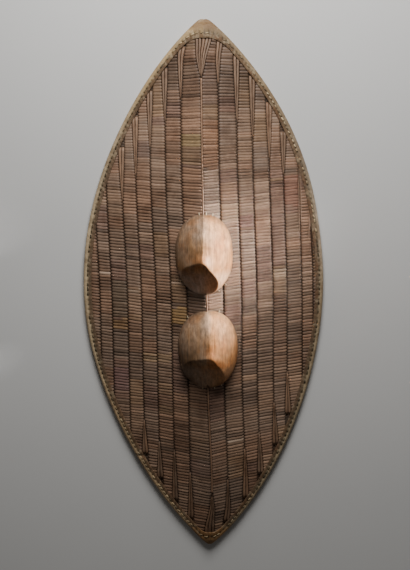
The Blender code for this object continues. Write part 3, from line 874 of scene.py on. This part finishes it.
def rim_profile():
    """Points around the folded hide: (inset, height, whether from the panel's middle)."""
    top = RIM_HALF * 2
    edge = ((RIM_FOOT, 0.0), (0.002, 0.0), (0.0006, 0.0006), (0.0, 0.0024), (0.0, top * 0.45))
    shoulder = ((0.0002, 0.0038), (0.001, 0.0018), (0.0024, 0.0005))
    front = ((0.0042, 0.0), (0.006, 0.0), (0.0076, 0.0001), (0.0085, 0.0002), (0.0094, 0.0002))
    front += ((0.0112, 0.0001), (0.0132, 0.0002), (0.015, 0.0004))
    front += ((RIM_LIP - 0.0004, 0.0008), (RIM_LIP, 0.0014))
    slot = ((RIM_LIP, SLOT_HALF + 0.0001), (HIDE, SLOT_HALF), (HIDE, -SLOT_HALF), (RIM_LIP, -SLOT_HALF))
    rows = [(RIM_LIP, -RIM_HALF, True)]
    rows += [(inset, above, False) for inset, above in edge]
    rows += [(inset, top - drop, False) for inset, drop in shoulder]
    rows += [(inset, RIM_HALF - drop, True) for inset, drop in front]
    return rows + [(inset, above, True) for inset, above in slot]


def rim_angles():
    """Evenly spaced places around the rim: (side, angle)."""
    fine = [(side, radians(-90 + 180 * i / 4000) * side) for side in (1, -1) for i in range(4000)]
    points = [ring_point(side, angle, STITCH_INSET) for side, angle in fine]
    lengths = [0.0]
    for (x0, y0), (x1, y1) in zip(points, points[1:] + points[:1]):
        lengths.append(lengths[-1] + hypot(x1 - x0, y1 - y0))
    count = round(lengths[-1] / (STITCH_PITCH / STATIONS_PER_STITCH))
    places = []
    k = 0
    for i in range(count):
        wanted = lengths[-1] * i / count
        while lengths[k + 1] < wanted:
            k += 1
        places.append(fine[k])
    return places


def rim_height(x, y, above, from_middle):
    """Height of a point of the rim, either from the panel's middle or from the ground."""
    return max(0.0, above + (mid_height(x, y) if from_middle else 0.0))


STITCH_PITCH = 0.01
CRACK_Y = -0.352  # a crack in the left rim with a pale chip below it
STATIONS_PER_STITCH = 6
# Where the stitches are darker, in degrees up from the widest place: right side, left side
DARKER_STITCHES = {1: (-55, 10), -1: (-25, 60)}


def tinted(colour, red, green, blue):
    """The colour with each of its parts scaled."""
    return Vector((colour.x * red, colour.y * green, colour.z * blue))


def hide_paint(x, y, inset, tone):
    """Colour of the hide: a pale outer band, brightened on the left by painted light and darker on the upper
    right, a browner inner strip and stained tips.
    """
    streak = drift(x, y, 150.0, 15)
    worn = drift(x, y, 38.0, 14)
    outer = Vector((1.0, 1.0, 1.0)) * (1.04 + 0.22 * worn + 0.22 * streak)
    if x > KEEL_X:
        # darker and greyer on the right from a little below the widest place up
        upper_right_dimming = ease((y + 0.02) / 0.1)
        outer = tinted(outer, 1, 1, 1 + 0.1 * upper_right_dimming) * (1 - 0.34 * upper_right_dimming)
    else:
        # painted light: the left outer band lightened, most at mid-height
        outer = outer * (1.12 + 0.38 * ease((0.3 - abs(y + 0.05)) / 0.2))
    brown = Vector((0.4, 0.34, 0.33)) * (1.0 + 0.35 * streak + 0.25 * worn)
    colour = outer.lerp(brown, ease((inset - 0.0085) / 0.0022))
    rust = ease((drift(x, y, 34.0, 16) - 0.12) / 0.22)
    rust *= ease((inset - 0.006) / 0.003) * ease((x + 0.02) / 0.04)
    colour = colour.lerp(Vector((0.42, 0.25, 0.17)), 0.45 * rust)
    top = ease((y - 0.28) / 0.15)
    colour = tinted(colour, 1, 1 - 0.09 * top, 1 - 0.26 * top) * (1 - 0.1 * top)
    if x < KEEL_X:
        golden = ease((-y - 0.14) / 0.12)
        colour = tinted(colour, 1 + 0.14 * golden, 1 + 0.06 * golden, 1)
        crack = near(y, CRACK_Y, 0.0018)
        chip = near(y, CRACK_Y - 0.0065, 0.004)
        colour = colour * (1 + 0.7 * chip) * (1 - 0.85 * crack)
    end_stain = ease((-0.495 - y) / 0.03)
    colour = colour.lerp(Vector((0.95, 0.62, 0.34)), 0.75 * end_stain)
    cap = ease((y - 0.525) / 0.012)
    colour = colour.lerp(Vector((0.55, 0.42, 0.32)), 0.8 * cap)
    return tuple(colour * tone)


def hide_rim():
    """The hide, folded over the panel's edge, pricked and drawn down along its stitches."""
    places = rim_angles()
    profile = rim_profile()
    draft = Draft()
    rings, paints = [], []
    for i, (side, angle) in enumerate(places):
        phase = i % STATIONS_PER_STITCH / STATIONS_PER_STITCH
        prick = near(phase, 0.5, 0.2)
        ring, paint = [], []
        for inset, above, from_middle in profile:
            x, y = ring_point(side, angle, inset)
            bumps = drift(x, y, 70.0, 11) * 0.0005 + drift(x, y, 240.0, 12) * 0.0002
            front = 1.0 if above > RIM_HALF * 0.8 else 0.0
            near_row = near(inset, STITCH_INSET, 0.0017)
            near_lip = near(inset, 0.0145, 0.0012)
            draw = front * (0.0011 * near_row * prick + 0.0003 * near_row + 0.0006 * near_lip * prick)
            wavy = drift(x, y, 55.0, 13) * 0.001 if inset > 0.014 and front else 0.0
            x, y = ring_point(side, angle, inset + wavy)
            z = rim_height(x, y, above, from_middle)
            if above > 0.001:
                z += bumps * front - draw
            ring.append((x, y, z))
            # painted shade in the pricked holes, along the drawn-down stitch row and at the lip's pricks
            painted_hole_shade = front * max(0.92 * near_row * prick, 0.35 * near_row, 0.75 * near_lip * prick)
            paint.append(hide_paint(x, y, inset, 1 - painted_hole_shade))
        rings.append(ring)
        paints.append(paint)
    draft.skin(rings, paints, capped=False, closed_along=True)
    draft.make("hide_fold", material("stained_hide"), ["hide_rim"])


def rim_stitches():
    """Running stitches of pale thong between the pricked holes."""
    places = rim_angles()
    chance = Random(23)
    draft = Draft()
    for first in range(0, len(places) - STATIONS_PER_STITCH, STATIONS_PER_STITCH):
        if chance.random() < 0.2:
            continue
        start = chance.uniform(0.56, 0.78)
        finish = chance.uniform(1.22, 1.44)
        fat = chance.uniform(0.75, 1.55)
        slant = chance.uniform(-0.0004, 0.001)
        side, angle = places[first]
        quiet = DARKER_STITCHES[side]
        darker_stretch = radians(quiet[0]) < angle < radians(quiet[1])
        shade = chance.uniform(0.1, 0.34) if darker_stretch else chance.uniform(0.22, 1.0) ** 0.9
        path = []
        for t in (0.0, 0.12, 0.3, 0.5, 0.7, 0.88, 1.0):
            spot = (start + (finish - start) * t) * STATIONS_PER_STITCH
            k = min(len(places) - 2, first + int(spot))
            side, angle = places[k]
            next_angle = places[k + 1][1] if places[k + 1][0] == side else angle
            angle += (next_angle - angle) * (spot % 1)
            x, y = ring_point(side, angle, STITCH_INSET + slant * (t - 0.5) * 2)
            rise = RIM_HALF + 0.0005 * (1 - (2 * t - 1) ** 4) - 0.0012 * abs(2 * t - 1) ** 6
            path.append(Vector((x, y, mid_height(x, y) + rise)))
        widths = [fat * width for width in (0.0011, 0.0018, 0.0021, 0.0021, 0.0021, 0.0018, 0.0011)]
        strip(draft, path, widths, [0.0008] * 7, (shade, shade * 0.93, shade * 0.8))
    draft.make("rim_thong", material("old_thong"), ["rim_stitching"])


# Bosses and their lashings

def boss_outline(size, angle):
    """A point of the boss's foot around its own middle."""
    power = 2 / BOSS_CORNER
    x = abs(cos(angle)) ** power * (1 if cos(angle) >= 0 else -1)
    y = abs(sin(angle)) ** power * (1 if sin(angle) >= 0 else -1)
    return x * size[0] / 2, y * size[1] / 2


def softer_minimum(first, second, softness):
    """The smaller of two values, rounded off where they are nearly the same."""
    share = min(1.0, max(0.0, 0.5 + 0.5 * (second - first) / softness))
    return second * (1 - share) + first * share - softness * share * (1 - share)


def boss_point(middle, size, nose, angle, outwards):
    """A point of the boss's surface; outwards is 0 at the nose and 1 at the foot."""
    foot_x, foot_y = boss_outline(size, angle)
    x = nose[0] + (foot_x - nose[0]) * outwards
    y = nose[1] + (foot_y - nose[1]) * outwards
    foot = height(middle[0] + foot_x, middle[1] + foot_y, CROWN) + BOSS_EDGE
    top = height(swayed(0.0, middle[1] + nose[1]), middle[1] + nose[1], CROWN) + size[2]
    away = hypot(x - nose[0], y - nose[1])
    power = DOME_POWER + (CREST_POWER - DOME_POWER) * max(0.0, sin(angle)) ** 2
    dome = DOME_SHARE * max(0.0, 1 - outwards**power) ** DOME_EDGE
    dome += (1 - DOME_SHARE) * exp(-((away / NOSE_RADIUS) ** NOSE_POWER))
    lean = radians(CUT_LEAN)
    below = -(x - nose[0]) * sin(lean) - (y - nose[1]) * cos(lean)
    face = max(0.0, 1 - below / (CUT_REACH * (size[1] / 2 + nose[1]))) ** CUT_POWER
    lift = softer_minimum(dome, face, 1.8 * CUT_SOFTNESS * (1 - outwards) + 0.0001)
    return middle[0] + x, middle[1] + y, foot + (top - foot) * lift


def boss_seat(x, y):
    """Height of the boss's underside, which clears the weave and the reed on the keel."""
    beside = abs(x - swayed(0.0, y))
    room = sqrt(max(0.0, (ROD_RADIUS + 0.0014) ** 2 - beside**2))
    return height(x, y, CROWN) + FIT + room * 1.25


def tool_marks(x, y, seed):
    """Shallow facets left by the carver's blade, in metres."""
    facets = noise.cell(Vector((x * 95, y * 38, seed)))
    return 0.00065 * drift(x, y * 0.5, 70.0, seed) + 0.00015 * facets


def boss_paint(x, above_nose, outwards, paint_and_light):
    """Colour of the wood: dusty grey towards the top, warmer at the sides and the nose; painted shade at the
    left and the foot, painted light at the right and under the nose, and a painted highlight round the nose.
    """
    seed, left_shade_amount, lit, under_light_amount = paint_and_light
    grain = noise.noise(Vector((x * 300, above_nose * 14, seed)))
    fine = noise.noise(Vector((x * 800, above_nose * 45, seed + 4)))
    broad = noise.noise(Vector((x * 45, above_nose * 20, seed + 9)))
    dusty = ease((above_nose - 0.025) / 0.05)
    warmth = min(1.0, max(0.0, 0.75 - 0.65 * dusty + 1.1 * broad + 0.35 * grain))
    pale = Vector((1.04, 1.02, 1.0))
    warm = Vector((0.96, 0.77, 0.54))
    mottle = noise.noise(Vector((x * 150, above_nose * 95, seed + 2)))
    colour = pale.lerp(warm, warmth) * (1.0 + 0.3 * grain + 0.24 * fine + 0.3 * mottle)
    # painted shade on the left side and painted light on the right side
    painted_left_shade = ease((-x - 0.012) / 0.03) * ease((0.045 - above_nose) / 0.05)
    colour = colour * (1.0 - left_shade_amount * painted_left_shade) * (1.0 + lit * ease((x + 0.02) / 0.04))
    # painted light: the underside below the nose lightened
    under = ease((-above_nose - 0.012) / 0.02)
    colour = colour.lerp(Vector((1.45, 1.55, 1.8)), under_light_amount * under)
    # painted light: a greyer cast on the shaded left side and a warmer one on the lit right side
    lit_side_tint = Vector((0.98, 1.14, 1.38)).lerp(Vector((1.0, 0.9, 0.78)), ease((x + 0.012) / 0.03))
    colour = tinted(colour, *lit_side_tint)
    # painted highlight round the nose
    rubbed = near(above_nose, 0.004, 0.01) * (1 - ease((outwards - 0.05) / 0.18))
    colour = colour * (1.0 + 0.35 * rubbed)
    # painted shade at the foot, where the boss meets the weave
    colour = colour * (1.0 - 0.3 * ease((outwards - 0.9) / 0.1))
    return tuple(max(0.05, part) for part in colour)


def boss(place):
    """One carved boss, closed underneath."""
    offset, size, nose = BOSSES[place]
    middle = (KEEL_X + offset[0], offset[1])
    paint_and_light = BOSS_PAINT_AND_LIGHT[place]
    around, levels = 260, 110
    draft = Draft()
    rings, paints = [], []
    for level in range(levels + 1):
        outwards = min(1.0, max(0.004, (level / levels) ** 1.15))
        ring, paint = [], []
        for i in range(around):
            angle = 2 * pi * i / around
            x, y, z = boss_point(middle, size, nose, angle, outwards)
            z += tool_marks(x, y, paint_and_light[0]) * min(1.0, 4 * (1 - outwards) + 0.3)
            ring.append((x, y, z))
            paint.append(boss_paint(x - middle[0], y - middle[1] - nose[1], outwards, paint_and_light))
        rings.append(ring)
        paints.append(paint)
    for outwards in (1.0, 0.985, 0.8, 0.6, 0.4, 0.2, 0.02):
        ring = []
        for i in range(around):
            foot_x, foot_y = boss_outline(size, 2 * pi * i / around)
            x = middle[0] + foot_x * outwards
            y = middle[1] + foot_y * outwards
            ring.append((x, y, boss_seat(x, y)))
        rings.append(ring)
        paints.append((0.45, 0.42, 0.4))
    draft.skin(rings, paints)
    draft.make(f"{place}_carved_boss", material("boss_wood"), [f"{place}_boss"])


def boss_lashings(place):
    """Strips of cane over the edge of the boss's foot, down into the weave."""
    offset, size, nose = BOSSES[place]
    middle = (KEEL_X + offset[0], offset[1])
    chance = Random(31 if place == "upper" else 32)
    draft = Draft()
    for degrees in LASHINGS[place]:
        angle = radians(degrees)
        foot_x, foot_y = boss_outline(size, angle)
        reach = hypot(foot_x, foot_y)
        out = Vector((foot_x / reach, foot_y / reach, 0))
        path = []
        for away in (1.0, 0.8, 0.55, 0.3, 0.12):
            x = middle[0] + foot_x + out.x * LASHING_OUTSIDE * away
            y = middle[1] + foot_y + out.y * LASHING_OUTSIDE * away
            rise = 0.0005 + 0.0035 * (1 - away) - 0.003 * ease((away - 0.7) / 0.3)
            path.append(Vector((x, y, height(x, y, CROWN) + rise)))
        for inwards in (0.25, 0.6, 1.0):
            outwards = 1 - inwards * LASHING_INSIDE / reach
            x, y, z = boss_point(middle, size, nose, angle, outwards)
            path.append(Vector((x, y, z)) + out * 0.0006 + Vector((0, 0, 0.0006 - 0.0012 * (inwards == 1.0))))
        shade = chance.uniform(0.8, 1.2)
        strip(draft, path, [0.0022] * len(path), [0.0009] * len(path), (shade, shade, shade), out + UP)
    nodes = [f"{place}_lashing_{i + 1}" for i in range(len(LASHINGS[place]))]
    draft.make(f"{place}_boss_lashing", material("old_thong"), nodes)


# Grip on the back

def finish_node(name, finish):
    """Gives a carried-over solid its finish."""
    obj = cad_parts[name]
    obj = obj if isinstance(obj, bpy.types.Object) else bpy.data.objects[name]
    if obj.material_slots:
        for slot in obj.material_slots:
            slot.material = material(finish)
    else:
        obj.data.materials.append(material(finish))


# What a user may change, and the steps that build the shield

def size_setting(name, description, default, least, most):
    """A length that the user may change, in metres."""
    return FloatProperty(
        name=name, description=description, default=default, min=least, max=most, unit="LENGTH"
    )


def colour_setting(name, description, default):
    """A colour that the user may change."""
    return FloatVectorProperty(name=name, description=description, default=default, subtype="COLOR")


class ShieldSizes(bpy.types.PropertyGroup):
    """Sizes of the woven work."""

    strand_pitch: size_setting(
        "Strand pitch", "Distance between two strands seen side by side on one column", 0.0063, 0.003, 0.012
    )
    strand_width: size_setting(
        "Strand width", "Width of a strand where it lies flat on its lath", 0.0062, 0.002, 0.012
    )
    strand_thickness: size_setting(
        "Strand thickness", "Thickness of a strand at its middle", 0.0013, 0.0005, 0.003
    )


class ShieldColours(bpy.types.PropertyGroup):
    """Main colours of the finishes."""

    cane: colour_setting("Cane", "Colour of the woven strands", (0.258, 0.161, 0.105))
    lath: colour_setting("Laths", "Colour of the laths under the weave", (0.095, 0.06, 0.04))
    reed: colour_setting("Reeds", "Colour of the bare reeds", (0.27, 0.17, 0.112))
    hide: colour_setting("Hide", "Colour of the hide rim", (0.35, 0.26, 0.154))
    thong: colour_setting("Thong", "Colour of stitches, lashings and straps", (0.6, 0.49, 0.33))
    wood: colour_setting("Wood", "Colour of the carved bosses and the grip", (0.37, 0.215, 0.118))
    floor: colour_setting("Floor", "Colour of the studio floor", (0.62, 0.61, 0.59))


class StageSettings(bpy.types.PropertyGroup):
    """Camera and lamps."""

    camera_distance: size_setting(
        "Camera distance", "From the middle of the shield to the camera", 3.3, 0.5, 20.0
    )
    camera_tilt: FloatProperty(
        name="Camera tilt",
        description="How far the camera stands towards the upper tip",
        default=radians(8),
        subtype="ANGLE",
    )
    camera_roll: FloatProperty(
        name="Camera roll",
        description="Turn of the picture against the shield",
        default=radians(-0.655),
        subtype="ANGLE",
    )
    lens: FloatProperty(name="Lens", description="Focal length in millimetres", default=101.18)
    high_power: FloatProperty(
        name="High lamp",
        description="Power of the large soft lamp beyond the upper tip, in watts",
        default=28.5,
    )
    side_power: FloatProperty(
        name="Side lamp",
        description="Power of the lamp low down at the right, in watts",
        default=1.92,
    )


def add_lamp(name, place, aim, size, power, spread):
    """A soft square lamp aimed at a point, its light kept within the spread in degrees."""
    lamp = bpy.data.lights.new(name, "AREA")
    lamp.size = size
    lamp.spread = radians(spread)
    lamp.energy = power
    obj = bpy.data.objects.new(name, lamp)
    bpy.context.scene.collection.objects.link(obj)
    obj.location = place
    obj.rotation_euler = (Vector(aim) - Vector(place)).to_track_quat("-Z", "Y").to_euler()


class SHIELD_OT_stage(bpy.types.Operator):
    """Lays the floor and sets the camera and lamps"""

    bl_idname = "shield.stage"
    bl_label = "Stage"

    def execute(self, context):
        scene = context.scene
        setting = scene.shield_stage
        draft = Draft()
        reach = 6.0
        low = -0.0006
        draft.points = [(-reach, -reach, low), (reach, -reach, low), (reach, reach, low), (-reach, reach, low)]
        draft.faces = [(0, 1, 2, 3)]
        draft.paint = [WHITE] * 4
        draft.build("studio_floor", material("studio_floor"))

        camera = bpy.data.cameras.new("shield_camera")
        camera.lens = setting.lens
        camera.clip_end = 50.0
        seen = bpy.data.objects.new("shield_camera", camera)
        scene.collection.objects.link(seen)
        turn = Matrix.Rotation(setting.camera_roll, 4, "Z") @ Matrix.Rotation(-setting.camera_tilt, 4, "X")
        aim = Vector((0.0028, 0.0094, 0.035))
        away = turn @ Vector((0, 0, setting.camera_distance))
        seen.matrix_world = Matrix.Translation(aim + away) @ turn
        scene.camera = seen

        add_lamp("high_lamp", (0.08, 1.25, 0.88), (0.0, 0.14, 0.0), 0.8, setting.high_power, 180)
        add_lamp("side_lamp", (1.25, 0.38, 0.3), (-0.03, 0.062, 0.18), 0.12, setting.side_power, 19)
        world = bpy.data.worlds.new("studio_air")
        world.use_nodes = True
        air = world.node_tree.nodes["Background"]
        air.inputs["Color"].default_value = (1.0, 0.98, 0.95, 1.0)
        air.inputs["Strength"].default_value = 0.065
        scene.world = world
        return {"FINISHED"}


class SHIELD_OT_weave(bpy.types.Operator):
    """Weaves the strands over and under the laths"""

    bl_idname = "shield.weave"
    bl_label = "Weave and laths"

    def execute(self, context):
        weave(context.scene.shield_sizes)
        laths()
        return {"FINISHED"}


class SHIELD_OT_reeds(bpy.types.Operator):
    """Lays the bare reeds at the rim and the reed along the keel"""

    bl_idname = "shield.reeds"
    bl_label = "Bare reeds"

    def execute(self, context):
        reeds()
        edge_reeds()
        keel_rod()
        return {"FINISHED"}


class SHIELD_OT_rim(bpy.types.Operator):
    """Folds the hide over the edge and stitches it"""

    bl_idname = "shield.rim"
    bl_label = "Hide rim"

    def execute(self, context):
        hide_rim()
        rim_stitches()
        return {"FINISHED"}


class SHIELD_OT_bosses(bpy.types.Operator):
    """Carves both bosses and lashes them down"""

    bl_idname = "shield.bosses"
    bl_label = "Bosses"

    def execute(self, context):
        for place in BOSSES:
            boss(place)
            boss_lashings(place)
        return {"FINISHED"}


class SHIELD_OT_grip(bpy.types.Operator):
    """Finishes the grip and its straps on the back"""

    bl_idname = "shield.grip"
    bl_label = "Grip"

    def execute(self, context):
        finish_node("grip", "boss_wood")
        for place in ("top", "bottom"):
            for i in (1, 2):
                finish_node(f"grip_strap_{place}_{i}", "old_thong")
        return {"FINISHED"}


STEPS = (
    SHIELD_OT_stage,
    SHIELD_OT_weave,
    SHIELD_OT_reeds,
    SHIELD_OT_rim,
    SHIELD_OT_bosses,
    SHIELD_OT_grip,
)


class SHIELD_PT_panel(bpy.types.Panel):
    """Lists the pieces of the shield"""

    bl_idname = "SHIELD_PT_panel"
    bl_label = "Woven shield"
    bl_space_type = "VIEW_3D"
    bl_region_type = "UI"
    bl_category = "Shield"

    def draw(self, context):
        for owner in (context.scene.shield_sizes, context.scene.shield_colours, context.scene.shield_stage):
            box = self.layout.box()
            for key in owner.bl_rna.properties.keys():
                if key not in ("rna_type", "name"):
                    box.prop(owner, key)
        for step in STEPS:
            self.layout.operator(step.bl_idname)


CLASSES = (ShieldSizes, ShieldColours, StageSettings, *STEPS, SHIELD_PT_panel)


def register():
    for entry in CLASSES:
        bpy.utils.register_class(entry)
    bpy.types.Scene.shield_sizes = PointerProperty(type=ShieldSizes)
    bpy.types.Scene.shield_colours = PointerProperty(type=ShieldColours)
    bpy.types.Scene.shield_stage = PointerProperty(type=StageSettings)


def unregister():
    del bpy.types.Scene.shield_stage
    del bpy.types.Scene.shield_colours
    del bpy.types.Scene.shield_sizes
    for entry in reversed(CLASSES):
        bpy.utils.unregister_class(entry)


def main():
    register()
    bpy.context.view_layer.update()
    for step in STEPS:
        prefix, name = step.bl_idname.split(".")
        getattr(getattr(bpy.ops, prefix), name)()


if __name__ == "__main__":
    main()
